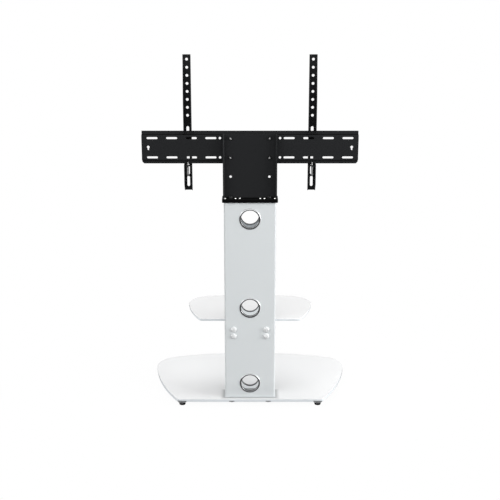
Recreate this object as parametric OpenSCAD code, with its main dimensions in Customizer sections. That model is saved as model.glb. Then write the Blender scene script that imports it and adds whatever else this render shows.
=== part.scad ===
// Pedestal stand for a flat screen: a curved glass base on four feet, a steel column with
// three cable holes, a small glass shelf, and a steel neck that carries a slotted rail.
// Two channel arms hook over the rail, slide along it, and are locked by a screw each.
// Millimetres, +Z up, origin on the floor under the middle of the base. The screen side
// faces -Y, the rear with the cable holes faces +Y.

/* [Base] */
// Width of the base glass
base_w = 700; // [620:10:780]
// Depth of the base glass
base_d = 425; // [380:5:470]
// Thickness of the base glass
base_t = 10; // [8:1:15]
// Radius of the long front curve
base_front_r = 1050; // [900:50:1600]
// Radius of the curve along each side
base_side_r = 715; // [650:5:800]
// Width of the base's rear edge, across its sharp corners
base_rear_w = 506; // [480:1:540]
// Radius of the front corners
base_front_corner_r = 90; // [60:2:110]
// Radius of the rear corners
base_rear_corner_r = 16; // [5:1:40]
// Height of the glass above the floor
foot_h = 18; // [14:1:30]
// Diameter of a foot cup where it meets the glass
cup_top_d = 34; // [30:1:40]
// Diameter of a foot cup at its lower rim
cup_rim_d = 28; // [27:1:30]
// Height of a foot cup
cup_h = 9; // [6:1:12]
// Diameter of the rubber pad in a foot cup
pad_d = 22; // [14:1:23]
// Distance between the two rear feet
rear_foot_span = 476; // [400:2:500]
// Distance of the rear feet from the rear edge
rear_foot_inset = 21; // [20:1:60]
// Distance between the two front feet
front_foot_span = 520; // [400:5:560]
// Distance of the front feet from the front edge
front_foot_inset = 85; // [70:1:120]

/* [Column] */
// Width of the column
column_w = 174; // [160:1:220]
// Depth of the column
column_d = 52; // [48:1:80]
// Length of the column tube
column_h = 707; // [600:5:900]
// Sheet thickness of the column
column_t = 1.5; // [1:0.25:2.5]
// Outer radius of the vertical rear corners
column_corner_r = 5; // [3:0.5:10]
// Distance of the column from the rear edge of the base
column_inset = 19; // [15:1:60]
// Thickness of the shoe plate under the column
shoe_t = 3; // [2:0.5:6]
// Rim of the shoe plate that shows around the column
shoe_rim = 3; // [1:0.5:6]
// Depth of the cover's folded sides
cover_lip = 12; // [8:1:18]
// Thickness of the steel blocks in both ends
block_t = 8; // [6:1:12]
// Height of the black cap on the column
cap_h = 10; // [7:1:16]
// Thickness of the cap's top wall
cap_top_t = 3; // [2:0.5:5]
// Overhang of the cap around the column
cap_rim = 6; // [3:0.5:8]

/* [Cable holes] */
// Clear bore of a cable grommet
bore_d = 60; // [40:1:64]
// Wall of a grommet's sleeve
sleeve_t = 1.6; // [1:0.2:2.5]
// Outer diameter of a grommet's flange
flange_d = 73; // [70:1:84]
// Thickness of a grommet's flange
flange_t = 2.4; // [1.5:0.1:3.5]
// Length of a grommet's sleeve behind its flange
sleeve_len = 8; // [5:1:12]
// Height of the lower cable hole above the column's foot
lower_hole_z = 49.5; // [46:0.5:60]
// Height of the middle cable hole above the column's foot
middle_hole_z = 329; // [325:1:400]
// Distance of the upper cable hole below the column's top
upper_hole_drop = 64; // [60:1:150]

/* [Shelf] */
// Width of the shelf glass
shelf_w = 444; // [400:2:520]
// Depth of the shelf glass
shelf_d = 257; // [240:1:300]
// Thickness of the shelf glass
shelf_t = 8; // [6:1:12]
// Radius of the shelf's long front curve
shelf_front_r = 860; // [700:20:1400]
// Radius of the curve along each side of the shelf
shelf_side_r = 416; // [390:2:520]
// Width of the shelf's rear edge, across its sharp corners
shelf_rear_w = 349; // [330:1:390]
// Radius of the shelf's front corners
shelf_front_corner_r = 80; // [40:2:85]
// Radius of the shelf's rear corners
shelf_rear_corner_r = 18; // [5:1:24]
// Height of the shelf's top above the column's foot
shelf_z = 269; // [240:1:280]
// Gap between the shelf's rear edge and the column
shelf_gap = 1.5; // [1:0.5:6]
// Sheet thickness of the shelf bracket
bracket_t = 2.5; // [2:0.5:4]
// Width of the shelf bracket
bracket_w = 156; // [140:2:170]
// Reach of the shelf bracket in front of the column
bracket_reach = 168; // [140:2:200]
// Height of the bracket's fixing flange
bracket_h = 46; // [44:1:60]
// Height of the bracket's sides at its front end
bracket_nose_h = 12; // [8:1:20]
// Diameter of the discs bonded under the shelf
disc_d = 45; // [30:1:55]
// Thickness of the discs bonded under the shelf
disc_t = 3; // [2:0.5:5]
// Distance between the bracket's two columns of bolts
shelf_bolt_span = 112; // [100:1:118]
// Distance between the bracket's two rows of bolts
shelf_bolt_rise = 24; // [22:1:28]
// Diameter of the domed caps over the bolts
dome_d = 20; // [16:1:21]
// Height of the domed caps
dome_h = 6; // [5:0.5:9]

/* [Neck] */
// Width of the neck plate
neck_w = 179; // [172:1:182]
// Height of the neck plate
neck_h = 216; // [200:1:300]
// Sheet thickness of the neck plate
neck_t = 3; // [2:0.5:4]
// Distance from the column's rear face to the neck's rear face
neck_inset = 17; // [15:1:20]
// Depth of the neck's folded sides at its foot
neck_side_foot = 20.5; // [19:0.5:21]
// Depth of the neck's folded sides at its top
neck_side_top = 12; // [8:1:16]
// Spacing of the hole grid in the neck and the rail
grid = 64.2; // [60:0.1:66]
// Diameter of the grid holes in the neck
grid_hole_d = 8.3; // [7:0.1:9]
// Distance of the rail's centre line below the neck's top edge
rail_drop = 46; // [44:0.5:60]

/* [Rail] */
// Width of the rail
rail_w = 712; // [690:2:800]
// Height of the rail over both lips
rail_h = 109; // [103:1:115]
// Height of the rail's flat back
rail_web_h = 86; // [80:1:88]
// Sheet thickness of the rail
rail_t = 2.5; // [2:0.5:3]
// Step from the flat back to the lips
rail_step = 11.5; // [11:0.5:14]
// Number of slot positions on each side of the middle
slot_count = 5; // [3:1:5]
// Length of a rail slot
rail_slot_len = 36; // [20:1:40]
// Width of a rail slot
rail_slot_w = 7; // [6.5:0.1:8]
// Distance from the middle to each single round hole
round_hole_x = 98.6; // [95:0.1:100]
// Diameter of the single round holes
round_hole_d = 8.2; // [6:0.1:9]
// Distance from the middle to each keyhole
keyhole_x = 334; // [320:1:338]
// Diameter of a keyhole's head
keyhole_head_d = 9; // [8:0.5:10]
// Width of a keyhole's neck
keyhole_neck_w = 4.6; // [4:0.2:6]
// Length of a keyhole's neck
keyhole_neck_len = 10; // [8:1:14]
// Chamfer on the lower lip's ends
rail_chamfer = 6; // [3:1:9]

/* [Arms] */
// Length of an arm
arm_len = 448; // [430:1:520]
// Height of an arm above the rail's upper lip
arm_above = 245.5; // [236:0.5:300]
// Width of an arm
arm_w = 26; // [24:0.5:32]
// Depth of an arm at its hook
arm_d = 29; // [28:0.5:32]
// Depth of an arm at its ends
arm_end_d = 8; // [7:0.5:12]
// Sheet thickness of an arm
arm_t = 2; // [1.5:0.25:2.5]
// Distance from the middle to each arm
arm_x = 205; // [120:1:300]
// Number of round holes in an arm
arm_hole_count = 8; // [4:1:8]
// Spacing of the round holes in an arm
arm_hole_pitch = 26; // [25:0.5:26]
// Diameter of the round holes and width of the slots
arm_hole_d = 9; // [7:0.5:10]
// Distance from the arm's top to its first hole
arm_hole_end = 15.5; // [12:0.5:17]
// Distance from the arm's top to the middle of its upper slot
arm_upper_slot = 251; // [248:1:256]
// Distance from the arm's bottom to the middle of its lowest slot
arm_slot_end = 30; // [24:1:32]
// Number of slots in an arm's lower half
arm_slot_count = 4; // [1:1:4]
// Length of an arm's slots
arm_slot_len = 35; // [25:1:36]
// Spacing of the slots in an arm's lower half
arm_slot_pitch = 40; // [38:0.5:41]
// Diameter of the locking screw
lock_d = 6; // [5:0.5:6]
// Length of the locking screw's shank
lock_len = 41; // [38:1:44]
// Thickness of the threaded tab in an arm
tab_t = 3; // [2:0.5:4]
// Gap between the rail's lower lip and the tab
tab_drop = 5; // [4.5:0.5:8]

/* [Hidden] */

$fn = 48;
// Steps of a large curve, and the angle of one step of a small fillet
curve_steps = 20;
fillet_step = 15;
// Overrun of every cut, clearance of a bolt in its hole, and of a piece in its pocket
over = 2;
hole_gap = 0.5;
thread_gap = 0.05;
seat_gap = 0.3;
// Gap between the rail and the arm that hangs on it
hook_gap = 0.5;
// Inner radius of every sheet bend
bend_r = 2;

// Hardware: M8 bolts hold the base and the neck, M6 the shelf and the rail
m8_d = 8;
m8_hex = 15;
m8_head_h = 5.3;
m8_cap_d = 13;
m8_key = 6;
m8_washer_d = 20;
m8_washer_small_d = 15;
m6_d = 6;
m6_hex = 11.5;
m6_nut_h = 5;
m6_head_d = 11;
m6_head_h = 3;
m6_washer_d = 12;
m5_d = 5;
m5_head_d = 9;
m5_head_h = 3;
screw_d = 3;
screw_head_d = 5.2;
screw_len = 5.6;
washer_t = 1.6;
// Length of a bolt's end that stands out of its nut
bolt_tail = 2;
spacer_d = 14;
lock_head_d = 10;
lock_head_h = 6;
// Tip chamfer of the locking screw
lock_tip = 1;
gasket_t = 1;
clamp_t = 3;
// Margin of the clamp plate inside the column's footprint
clamp_margin = 4;
// Depth of the pocket that holds a foot's rubber
pad_pocket = 3;
// Rounding on the rubber's lower edge and on a grommet's flange
pad_round = 1.5;

// Places of the base bolts and of the neck's small screws
base_bolt_x = 64;
base_bolt_y = 17;
neck_screw_x = [34, 48, 82.5];
neck_screw_edge = 5.5;
neck_bolt_edge = 11;
disc_x = 50;
disc_edge = 30;

// Heights that the pieces stack up to
base_top = foot_h + base_t;
shoe_z = base_top + gasket_t;
column_z = shoe_z + shoe_t;
column_top = column_z + column_h;
cap_top = column_top + cap_top_t;
neck_top = cap_top + neck_h;
rail_z = neck_top - rail_drop;
lip_top = rail_z + rail_h / 2;
arm_top = lip_top + arm_above;
arm_bottom = arm_top - arm_len;
upper_slot_z = arm_top - arm_upper_slot;
lower_slot_zs = [for (i = [0:arm_slot_count - 1]) arm_bottom + arm_slot_end + i * arm_slot_pitch];
shelf_top = column_z + shelf_z;
shelf_bottom = shelf_top - shelf_t;
bracket_top = shelf_bottom - disc_t;
hole_zs = [column_z + lower_hole_z, column_z + middle_hole_z, column_top - upper_hole_drop];
shelf_bolt_zs = [bracket_top - bracket_t - m6_hex / 2, bracket_top - bracket_t - m6_hex / 2 - shelf_bolt_rise];

// Depths, from the rear edge of the base forward
base_rear = base_d / 2;
column_rear = base_rear - column_inset;
column_front = column_rear - column_d;
column_mid = (column_rear + column_front) / 2;
neck_rear = column_rear - neck_inset;
neck_front = neck_rear - neck_t;
foot_flange_rear = neck_rear + neck_side_foot;
rail_front = neck_front - rail_t;
lip_rear = neck_front - rail_step;
lip_front = lip_rear - rail_t;
arm_rear = rail_front;
arm_front = arm_rear - arm_d;
shelf_rear = column_front - shelf_gap;
lock_y = lip_rear + hook_gap + lock_d / 2;
lip_bottom = rail_z - rail_h / 2;
tab_z = lip_bottom - tab_drop - tab_t;
lock_tip_z = rail_z - rail_web_h / 2 - rail_step / 2;

function unit(v) = v / norm(v);
function turn_of(a, b) = a.x * b.y - a.y * b.x;
function heading(v) = atan2(v.y, v.x);
function xy(p) = [p.x, p.y];

// Points along an arc between two headings
function arc(centre, r, from, to, steps = curve_steps) =
    [for (i = [0:steps]) centre + r * [cos(from + (to - from) * i / steps), sin(from + (to - from) * i / steps)]];

// Point p of an outline, rounded to radius r between its neighbours
function fillet(before, p, after, r) =
    r <= 0 ? [p] :
    let (u = unit(before - p), w = unit(after - p), half = acos(u * w) / 2)
    let (centre = p + unit(u + w) * r / sin(half), start = heading(p + u * r / tan(half) - centre))
    let (sweep = -sign(turn_of(u, w)) * (180 - 2 * half))
    arc(centre, r, start, start + sweep, max(2, ceil(abs(sweep) / fillet_step)));

// Closed outline whose corners are [x, y, radius]
function rounded(corners) =
    let (n = len(corners))
    [for (i = [0:n - 1]) each fillet(xy(corners[(i + n - 1) % n]), xy(corners[i]), xy(corners[(i + 1) % n]), corners[i][2])];

// Rounded rectangle between two opposite corners
function panel(x0, y0, x1, y1, r) = rounded([[x0, y0, r], [x1, y0, r], [x1, y1, r], [x0, y1, r]]);

// Where two circles meet, on the right of the way from the first centre to the second
function meet(c1, r1, c2, r2) =
    let (gap = norm(c2 - c1), u = (c2 - c1) / gap, a = (r1 * r1 - r2 * r2 + gap * gap) / (2 * gap))
    c1 + a * u + sqrt(r1 * r1 - a * a) * [-u.y, u.x];

// Outline of a glass sheet, rear edge on y = 0. On each side three arcs run into each other:
// the long front curve, a front corner that is the widest point, and a shallow side curve.
function glass_outline(w, d, rear_w, front_r, side_r, corner_r, rear_r) =
    let (front_c = [0, front_r - d], corner_x = w / 2 - corner_r, rear_p = [rear_w / 2, 0])
    let (corner_c = [corner_x, front_c.y - sqrt(pow(front_r - corner_r, 2) - corner_x * corner_x)])
    let (side_c = meet(corner_c, side_r - corner_r, rear_p, side_r))
    let (rear_c = [side_c.x + sqrt(pow(side_r - rear_r, 2) - pow(side_c.y + rear_r, 2)), -rear_r])
    let (front_a = heading(corner_c - front_c), side_a = heading(corner_c - side_c), rear_a = heading(rear_c - side_c))
    let (right = concat(
        arc(front_c, front_r, -90, front_a),
        arc(corner_c, corner_r, front_a, min(side_a, 0), curve_steps / 2),
        arc(corner_c, corner_r, min(side_a, 0), side_a, 2),
        arc(side_c, side_r, side_a, rear_a),
        arc(rear_c, rear_r, rear_a, 90, curve_steps / 2)))
    let (clean = [for (i = [0:len(right) - 1]) if (i == 0 || norm(right[i] - right[i - 1]) > thread_gap) right[i]])
    concat(clean, [for (i = [len(clean) - 1:-1:1]) [-clean[i].x, clean[i].y]]);

// Plate lying flat, from an outline in x and y
module plate(points, z, t) {
    translate([0, 0, z]) linear_extrude(t) polygon(points);
}

// Bar along X from an outline in y and z
module bar(points, x0, x1) {
    translate([x0, 0, 0]) rotate([90, 0, 90]) linear_extrude(x1 - x0) polygon(points);
}

// Round shank along Y
module peg_y(x, z, d, y0, y1) {
    translate([x, y0, z]) rotate([-90, 0, 0]) cylinder(h = y1 - y0, d = d);
}

// Upright round shank
module peg_z(x, y, d, z0, z1) {
    translate([x, y, z0]) cylinder(h = z1 - z0, d = d);
}

// Hexagon along Y, flats up and down
module hex_y(x, z, across, y0, y1) {
    translate([x, y0, z]) rotate([-90, 0, 0]) cylinder(h = y1 - y0, d = across, $fn = 6);
}

// Slot cut along Y: two round ends and the straight part between them
module slot_y(x, z, len_x, len_z, d, y0, y1) {
    run_x = max(len_x - d, 0) / 2;
    run_z = max(len_z - d, 0) / 2;
    for (s = [-1, 1]) peg_y(x + s * run_x, z + s * run_z, d, y0, y1);
    translate([x - max(run_x, run_z > 0 ? d / 2 : 0), y0, z - max(run_z, run_x > 0 ? d / 2 : 0)])
        cube([2 * max(run_x, run_z > 0 ? d / 2 : 0), y1 - y0, 2 * max(run_z, run_x > 0 ? d / 2 : 0)]);
}

// The four feet: two near the rear corners and two behind the front curve
foot_places = [
    for (s = [-1, 1]) [s * rear_foot_span / 2, base_rear - rear_foot_inset],
    for (s = [-1, 1]) [s * front_foot_span / 2, base_rear - base_d + front_foot_inset]
];

base_bolt_places = [for (sx = [-1, 1], sy = [-1, 1]) [sx * base_bolt_x, column_mid + sy * base_bolt_y]];

module base_bolt_holes(z0, z1, d) {
    for (p = base_bolt_places) peg_z(p.x, p.y, d, z0, z1);
}

// Back-painted glass slab that everything stands on
module base_glass() {
    color("whitesmoke") difference() {
        translate([0, base_rear, 0])
            plate(glass_outline(base_w, base_d, base_rear_w, base_front_r, base_side_r, base_front_corner_r, base_rear_corner_r), foot_h, base_t);
        base_bolt_holes(foot_h - over, base_top + over, m8_d + 4 * hole_gap);
    }
}

// Turned metal cups bonded under the glass, each with a pocket for its rubber
module foot_cups() {
    color("silver") for (p = foot_places) translate([p.x, p.y, 0]) difference() {
        translate([0, 0, foot_h - cup_h]) rotate_extrude()
            polygon([[0, 0], [cup_rim_d / 2 - pad_round, 0], [cup_rim_d / 2, pad_round], [cup_top_d / 2, cup_h - pad_round], [cup_top_d / 2, cup_h], [0, cup_h]]);
        translate([0, 0, foot_h - cup_h - over]) cylinder(h = pad_pocket + over, d = pad_d + seat_gap);
    }
}

// Rubber pads that touch the floor
module foot_pads() {
    color("dimgray") for (p = foot_places) translate([p.x, p.y, 0]) rotate_extrude()
        polygon([[0, 0], [pad_d / 2 - pad_round, 0], [pad_d / 2, pad_round], [pad_d / 2, foot_h - cup_h + pad_pocket], [0, foot_h - cup_h + pad_pocket]]);
}

// Thin gasket between the shoe and the glass
module base_gasket() {
    color("gainsboro") difference() {
        plate(panel(-column_w / 2, column_front, column_w / 2, column_rear, column_corner_r), base_top, gasket_t);
        base_bolt_holes(base_top - over, shoe_z + over, m8_d + 2 * hole_gap);
    }
}

// Flat shoe plate under the column, a little wider all round
module column_shoe() {
    color("lightgray") difference() {
        plate(panel(-column_w / 2 - shoe_rim, column_front - shoe_rim, column_w / 2 + shoe_rim, column_rear + shoe_rim, column_corner_r), shoe_z, shoe_t);
        base_bolt_holes(shoe_z - over, column_z + over, m8_d + 2 * hole_gap);
    }
}

// Rubber pad and steel plate that clamp the glass from below
module clamp_layer(z, t) {
    difference() {
        plate(panel(-column_w / 2 + clamp_margin, column_front + clamp_margin, column_w / 2 - clamp_margin, column_rear - clamp_margin, column_corner_r), z, t);
        base_bolt_holes(z - over, z + t + over, m8_d + 2 * hole_gap);
    }
}

clamp_z = foot_h - gasket_t - clamp_t;

module clamp_pad() {
    color("dimgray") clamp_layer(foot_h - gasket_t, gasket_t);
}

module clamp_plate() {
    color("silver") clamp_layer(clamp_z, clamp_t);
}

module base_washers() {
    color("silver") for (p = base_bolt_places) difference() {
        peg_z(p.x, p.y, m8_washer_d, clamp_z - washer_t, clamp_z);
        peg_z(p.x, p.y, m8_d + hole_gap, clamp_z - washer_t - over, clamp_z + over);
    }
}

// Hexagon bolts that run up into the block in the column's foot
module base_bolts() {
    head_z = clamp_z - washer_t - m8_head_h;
    color("dimgray") for (p = base_bolt_places) {
        translate([p.x, p.y, head_z]) cylinder(h = m8_head_h, d = m8_hex, $fn = 6);
        peg_z(p.x, p.y, m8_d, head_z + m8_head_h, column_z + block_t);
    }
}

// Steel block inside one end of the column, tapped for the bolts
module end_block(z, places) {
    difference() {
        plate(panel(-column_w / 2 + 2 * column_t + seat_gap, column_front + column_t + seat_gap, column_w / 2 - 2 * column_t - seat_gap, column_rear - column_t - seat_gap, column_corner_r - column_t), z, block_t);
        for (p = places) peg_z(p.x, p.y, m8_d + 2 * thread_gap, z - over, z + block_t + over);
    }
}

module column_foot_block() {
    color("silver") end_block(column_z, base_bolt_places);
}

neck_bolt_places = [for (s = [-1, 1]) [s * grid, foot_flange_rear - neck_bolt_edge]];
neck_screw_places = [for (s = [-1, 1], x = neck_screw_x) [s * x, foot_flange_rear - neck_screw_edge]];

module column_top_block() {
    color("silver") end_block(column_top - block_t, neck_bolt_places);
}

shelf_bolt_places = [for (s = [-1, 1], z = shelf_bolt_zs) [s * shelf_bolt_span / 2, z]];

// Cable holes and shelf bolt holes that run through the column's front and rear
module column_holes(y0, y1) {
    for (z = hole_zs) peg_y(0, z, bore_d + 2 * sleeve_t + 2 * seat_gap, y0, y1);
    for (p = shelf_bolt_places) peg_y(p.x, p.y, m6_d + 2 * hole_gap, y0, y1);
}

// Folded steel channel: rear face and both sides in one sheet, rounded rear corners
module column_channel() {
    x = column_w / 2;
    color("gainsboro") difference() {
        plate(rounded([
            [-x, column_front, 0], [-x + column_t, column_front, 0],
            [-x + column_t, column_rear - column_t, column_corner_r - column_t],
            [x - column_t, column_rear - column_t, column_corner_r - column_t],
            [x - column_t, column_front, 0], [x, column_front, 0],
            [x, column_rear, column_corner_r], [-x, column_rear, column_corner_r]
        ]), column_z, column_h);
        column_holes(column_rear - column_t - over, column_rear + over);
    }
}

// Front cover with its sides folded back inside the channel
module column_cover() {
    x = column_w / 2 - column_t;
    y = column_front;
    color("gainsboro") difference() {
        plate(rounded([
            [-x, y, column_t], [x, y, column_t], [x, y + cover_lip, 0],
            [x - column_t, y + cover_lip, 0], [x - column_t, y + column_t, 0],
            [-x + column_t, y + column_t, 0], [-x + column_t, y + cover_lip, 0],
            [-x, y + cover_lip, 0]
        ]), column_z, column_h);
        column_holes(y - over, y + column_t + over);
    }
}

// Plated ring with a rounded flange outside and a sleeve through the sheet.
// It faces +Y when way is 1 and -Y when way is -1.
module grommet(y, z, way) {
    r0 = bore_d / 2;
    color("silver") translate([0, y, z]) rotate([-90 * way, 0, 0]) rotate_extrude()
        polygon(concat(
            [[r0, -sleeve_len], [r0 + sleeve_t, -sleeve_len], [r0 + sleeve_t, 0], [flange_d / 2, 0]],
            arc([flange_d / 2 - flange_t / 2, flange_t / 2], flange_t / 2, 0, 90, 4),
            [[r0 + flange_t / 2, flange_t]],
            [[r0, flange_t / 2]]));
}

module rear_lower_grommet() grommet(column_rear, hole_zs[0], 1);
module rear_middle_grommet() grommet(column_rear, hole_zs[1], 1);
module rear_upper_grommet() grommet(column_rear, hole_zs[2], 1);
module front_lower_grommet() grommet(column_front, hole_zs[0], -1);
module front_middle_grommet() grommet(column_front, hole_zs[1], -1);
module front_upper_grommet() grommet(column_front, hole_zs[2], -1);

// Back-painted glass shelf, same curves as the base at a smaller size
module shelf_glass() {
    color("white") translate([0, shelf_rear, 0])
        plate(glass_outline(shelf_w, shelf_d, shelf_rear_w, shelf_front_r, shelf_side_r, shelf_front_corner_r, shelf_rear_corner_r), shelf_bottom, shelf_t);
}

disc_places = [for (s = [-1, 1], y = [column_front - disc_edge, column_front - bracket_reach + disc_edge]) [s * disc_x, y]];

// Bracket under the shelf: top plate with sides folded down that slope up to the nose,
// and a flange bolted to the column
module shelf_bracket() {
    x = bracket_w / 2;
    inner = bend_r;
    outer = bend_r + bracket_t;
    z = bracket_top;
    nose = column_front - bracket_reach;
    color("lightgray") difference() {
        union() {
            intersection() {
                translate([0, column_front, 0]) rotate([90, 0, 0]) linear_extrude(bracket_reach) polygon(rounded([
                    [-x, z, outer], [-x, z - bracket_h, 0], [-x + bracket_t, z - bracket_h, 0],
                    [-x + bracket_t, z - bracket_t, inner], [x - bracket_t, z - bracket_t, inner],
                    [x - bracket_t, z - bracket_h, 0], [x, z - bracket_h, 0], [x, z, outer]
                ]));
                bar([
                    [column_front, z], [nose, z], [nose, z - bracket_nose_h],
                    [column_front - disc_edge, z - bracket_h], [column_front, z - bracket_h]
                ], -x, x);
            }
            bar([
                [column_front, z - bracket_t / 2], [column_front - bracket_t, z - bracket_t / 2],
                [column_front - bracket_t, z - bracket_h], [column_front, z - bracket_h]
            ], -x + bracket_t / 2, x - bracket_t / 2);
        }
        for (p = shelf_bolt_places) peg_y(p.x, p.y, m6_d + 2 * hole_gap, column_front - bracket_t - over, column_front + over);
        for (p = disc_places) peg_z(p.x, p.y, m5_d + 2 * hole_gap, z - bracket_t - over, z + over);
    }
}

// Metal discs bonded to the underside of the glass, tapped for the screws
module shelf_discs() {
    color("silver") for (p = disc_places) difference() {
        peg_z(p.x, p.y, disc_d, bracket_top, shelf_bottom);
        peg_z(p.x, p.y, m5_d + 2 * thread_gap, bracket_top - over, shelf_bottom - disc_t / 4);
    }
}

module shelf_screws() {
    color("silver") for (p = disc_places) {
        peg_z(p.x, p.y, m5_head_d, bracket_top - bracket_t - m5_head_h, bracket_top - bracket_t);
        peg_z(p.x, p.y, m5_d, bracket_top - bracket_t, shelf_bottom - disc_t / 2);
    }
}

nut_front = column_front - bracket_t - m6_nut_h;

// Long bolts through the column that carry the bracket
module shelf_bolts() {
    color("silver") for (p = shelf_bolt_places) {
        peg_y(p.x, p.y, m6_head_d, column_rear, column_rear + m6_head_h);
        peg_y(p.x, p.y, m6_d, nut_front - bolt_tail, column_rear);
    }
}

// Tubes that keep the column's sheets apart where the bolts clamp them
module shelf_spacers() {
    color("silver") for (p = shelf_bolt_places) difference() {
        peg_y(p.x, p.y, spacer_d, column_front + column_t, column_rear - column_t);
        peg_y(p.x, p.y, m6_d + 2 * hole_gap, column_front - over, column_rear + over);
    }
}

module shelf_nuts() {
    color("silver") for (p = shelf_bolt_places) difference() {
        hex_y(p.x, p.y, m6_hex, nut_front, nut_front + m6_nut_h);
        peg_y(p.x, p.y, m6_d + 2 * thread_gap, nut_front - over, nut_front + m6_nut_h + over);
    }
}

// Domed plastic caps over the bolt heads
module bolt_caps() {
    ball_r = (dome_d * dome_d / 4 + dome_h * dome_h) / (2 * dome_h);
    rim_a = asin(dome_d / 2 / ball_r);
    color("white") for (p = shelf_bolt_places) translate([p.x, column_rear, p.y]) rotate([-90, 0, 0]) difference() {
        rotate_extrude() polygon(concat([[0, 0]], [for (i = [8:-1:0]) [ball_r * sin(rim_a * i / 8), dome_h - ball_r + ball_r * cos(rim_a * i / 8)]]));
        translate([0, 0, -over]) cylinder(h = over + m6_head_h + seat_gap, d = m6_head_d + 2 * seat_gap);
    }
}

// Black cap over the column's top, with a skirt round the sheet
module column_cap() {
    x = column_w / 2;
    color("dimgray") difference() {
        plate(panel(-x - cap_rim, column_front - cap_rim, x + cap_rim, column_rear + cap_rim, column_corner_r + cap_rim / 2), cap_top - cap_h, cap_h);
        plate(rounded([
            [-x - seat_gap, column_front - seat_gap, 0], [x + seat_gap, column_front - seat_gap, 0],
            [x + seat_gap, column_rear + seat_gap, column_corner_r], [-x - seat_gap, column_rear + seat_gap, column_corner_r]
        ]), cap_top - cap_h - over, cap_h - cap_top_t + over);
        for (p = neck_bolt_places) peg_z(p.x, p.y, m8_d + 2 * hole_gap, column_top - over, cap_top + over);
        for (p = neck_screw_places) peg_z(p.x, p.y, screw_d + 2 * thread_gap, column_top - over, cap_top + over);
    }
}

// Neck: a plate folded back along its foot and down both sides
module neck_plate() {
    x = neck_w / 2;
    inner = bend_r;
    outer = bend_r + neck_t;
    foot_top = cap_top + neck_t;
    color("dimgray") difference() {
        union() {
            intersection() {
                plate(rounded([
                    [-x, neck_front, outer], [x, neck_front, outer], [x, foot_flange_rear, 0],
                    [x - neck_t, foot_flange_rear, 0], [x - neck_t, neck_rear, inner],
                    [-x + neck_t, neck_rear, inner], [-x + neck_t, foot_flange_rear, 0],
                    [-x, foot_flange_rear, 0]
                ]), cap_top, neck_h);
                bar(rounded([
                    [neck_front, cap_top, 0], [foot_flange_rear, cap_top, 0],
                    [foot_flange_rear, foot_top, 0], [neck_rear + neck_side_top, neck_top, neck_side_top / 3],
                    [neck_front, neck_top, 0]
                ]), -x, x);
            }
            bar(rounded([
                [neck_front, cap_top, outer], [foot_flange_rear, cap_top, 0],
                [foot_flange_rear, foot_top, 0], [neck_rear, foot_top, inner],
                [neck_rear, foot_top + outer, 0], [neck_front, foot_top + outer, 0]
            ]), -x + neck_t, x - neck_t);
        }
        for (s = [-1, 1], row = [-1, 1, 3]) peg_y(s * grid, rail_z - row * grid / 2, grid_hole_d, neck_front - over, neck_rear + over);
        for (p = neck_bolt_places) peg_z(p.x, p.y, m8_d + 2 * hole_gap, cap_top - over, foot_top + over);
        for (p = neck_screw_places) peg_z(p.x, p.y, screw_d + 2 * thread_gap, cap_top - over, foot_top + over);
    }
}

module neck_washers() {
    z = cap_top + neck_t;
    color("dimgray") for (p = neck_bolt_places) difference() {
        peg_z(p.x, p.y, m8_washer_small_d, z, z + washer_t);
        peg_z(p.x, p.y, m8_d + hole_gap, z - over, z + washer_t + over);
    }
}

// Socket head bolts that hold the neck to the block in the column's top
module neck_bolts() {
    z = cap_top + neck_t + washer_t;
    color("dimgray") for (p = neck_bolt_places) {
        peg_z(p.x, p.y, m8_d, column_top - block_t, z);
        difference() {
            peg_z(p.x, p.y, m8_cap_d, z, z + m8_head_h);
            translate([p.x, p.y, z + m8_head_h / 2]) cylinder(h = m8_head_h, d = m8_key, $fn = 6);
        }
    }
}

// Small plated screws along the rear edge of the neck's foot
module neck_screws() {
    z = cap_top + neck_t;
    color("silver") for (p = neck_screw_places) {
        peg_z(p.x, p.y, screw_d, z - screw_len, z);
        peg_z(p.x, p.y, screw_head_d, z, z + screw_d / 2);
    }
}

rail_bolt_places = [for (s = [-1, 1], row = [-1, 1]) [s * grid, rail_z + row * grid / 2]];

// Rail: flat back against the neck, stepped forward to a lip above and below
module rail_plate() {
    half = rail_h / 2;
    web = rail_web_h / 2;
    x = rail_w / 2;
    inner = bend_r;
    outer = bend_r + rail_t;
    color("dimgray") difference() {
        bar(rounded([
            [neck_front, rail_z - web, outer], [neck_front, rail_z + web, outer],
            [lip_rear, rail_z + web, inner], [lip_rear, rail_z + half, 0],
            [lip_front, rail_z + half, 0], [lip_front, rail_z + web - rail_t, outer],
            [rail_front, rail_z + web - rail_t, inner], [rail_front, rail_z - web + rail_t, inner],
            [lip_front, rail_z - web + rail_t, outer], [lip_front, rail_z - half, 0],
            [lip_rear, rail_z - half, 0], [lip_rear, rail_z - web, inner]
        ]), -x, x);
        for (k = [-slot_count:slot_count], row = [-1, 1])
            slot_y(k * grid, rail_z + row * grid / 2, rail_slot_len, 0, rail_slot_w, rail_front - over, neck_front + over);
        for (s = [-1, 1]) {
            for (row = [-1, 1]) peg_y(s * round_hole_x, rail_z + row * grid / 2, round_hole_d, rail_front - over, neck_front + over);
            keyhole_top = rail_z + keyhole_neck_len / 4;
            peg_y(s * keyhole_x, keyhole_top, keyhole_head_d, rail_front - over, neck_front + over);
            translate([s * keyhole_x - keyhole_neck_w / 2, rail_front - over, keyhole_top - keyhole_neck_len])
                cube([keyhole_neck_w, rail_t + 2 * over, keyhole_neck_len]);
            // Sloped ends of the lower lip
            translate([0, lip_rear + over, 0]) rotate([90, 0, 0]) linear_extrude(rail_t + 2 * over)
                polygon([[s * (x + over), rail_z - half - over], [s * (x + over), rail_z - half + rail_chamfer], [s * x, rail_z - half + rail_chamfer], [s * (x - rail_chamfer), rail_z - half], [s * (x - rail_chamfer), rail_z - half - over]]);
        }
    }
}

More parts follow.
